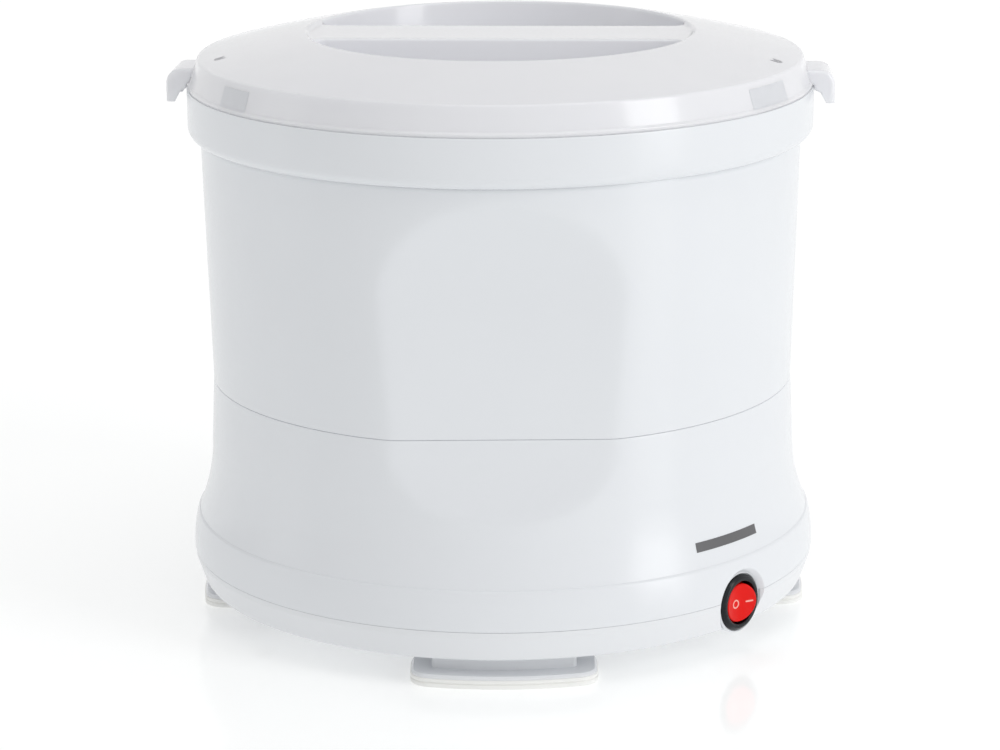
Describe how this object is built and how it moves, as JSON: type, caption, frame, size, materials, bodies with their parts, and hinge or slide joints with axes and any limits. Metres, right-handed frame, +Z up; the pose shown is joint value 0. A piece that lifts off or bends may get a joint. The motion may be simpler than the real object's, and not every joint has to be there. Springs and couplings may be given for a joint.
{
  "type": "electric potato peeler",
  "caption": "Electric drum peeler: flared motor base with a rocker switch, round tub with grip scoops, lift-out bowl over a spinning abrasive disc, and a milky see-through lid with hook ears.",
  "frame": {"origin": "on the axis of the drum, in the plane that the foot pads stand on", "axes": "+Z up along the axis of the drum, +X to the right as seen from the front, -Y towards the front, where the switch is"},
  "size_m": [0.273, 0.26, 0.2396],
  "materials": {
    "clear_lid": "milky, see-through, smooth",
    "white_plastic": "smooth moulded",
    "cover_plastic": "smooth moulded",
    "pad_rubber": "soft pale grey",
    "disc_plastic": "moulded",
    "abrasive_grit": "coarse grit",
    "acetal": "natural",
    "badge_grey": "flat print",
    "black_plastic": "moulded",
    "black_gloss": "polished",
    "red_gloss": "polished, translucent",
    "black_rubber": "plain",
    "steel": "turned",
    "zinc_plate": "zinc plated",
    "core_steel": "laminated, varnished",
    "bronze": "sintered",
    "copper": "enamelled wire",
    "carbon": "pressed",
    "capacitor_yellow": "moulded case"
  },
  "bodies": {
    "base": {"tub_housing": "white_plastic", "base_housing": "white_plastic", "bottom_cover": "cover_plastic", "foot_pads": "pad_rubber", "plain_badge": "badge_grey", "shaft_seal": "black_rubber", "spindle_bushes": "bronze", "drive_belt": "black_rubber", "motor_bracket": "zinc_plate", "bracket_grommets": "black_rubber", "bracket_screws": "steel", "motor_screws": "steel", "upper_end_plate": "zinc_plate", "lower_end_plate": "zinc_plate", "through_bolts": "steel", "stator_core": "core_steel", "field_coils": "copper", "motor_bearings": "bronze", "brush_holders": "bronze", "carbon_brushes": "carbon", "housing_screws": "steel", "cover_screws": "steel", "switch_body": "black_gloss", "switch_terminals": "bronze", "cord_gland": "white_plastic", "terminal_block": "white_plastic", "suppressor_capacitor": "capacitor_yellow"},
    "bowl": {"bowl": "white_plastic"},
    "lid": {"lid": "clear_lid"},
    "slide_ring": {"slide_ring": "acetal"},
    "disc": {"peeling_disc": "disc_plastic", "abrasive_coat": "abrasive_grit"},
    "spindle": {"drive_spindle": "steel", "drive_coupling": "black_plastic", "splash_cap": "black_rubber", "thrust_washer": "steel", "large_pulley": "acetal", "circlip": "steel"},
    "rotor": {"motor_shaft": "steel", "armature": "core_steel", "commutator": "copper", "cooling_fan": "black_plastic", "small_pulley": "acetal"},
    "rocker": {"rocker": "red_gloss"}
  },
  "joints": [
    {"name": "bowl_lift", "type": "slide", "parent": "base", "child": "bowl", "axis": [0, 0, 1], "range_m": [0, 0.12]},
    {"name": "lid_lift", "type": "slide", "parent": "bowl", "child": "lid", "axis": [0, 0, 1], "range_m": [0, 0.12]},
    {"name": "disc_lift", "type": "slide", "parent": "bowl", "child": "slide_ring", "axis": [0, 0, 1], "range_m": [0, 0.05]},
    {"name": "disc_spin", "type": "hinge", "parent": "slide_ring", "child": "disc", "pos_m": [0, 0, 0.13], "axis": [0, 0, 1], "continuous": true},
    {"name": "spindle_spin", "type": "hinge", "parent": "base", "child": "spindle", "pos_m": [0, 0, 0.11], "axis": [0, 0, 1], "continuous": true},
    {"name": "motor_spin", "type": "hinge", "parent": "base", "child": "rotor", "pos_m": [-0.07, 0, 0.06], "axis": [0, 0, 1], "continuous": true},
    {"name": "rocker_tilt", "type": "hinge", "parent": "base", "child": "rocker", "pos_m": [0.09142, -0.08348, 0.0217], "axis": [0, 0, 1], "range_deg": [0, 16]}
  ],
  "couplings": [
    {"joint": "spindle_spin", "follows": "disc_spin", "ratio": 1},
    {"joint": "motor_spin", "follows": "disc_spin", "ratio": 6}
  ]
}
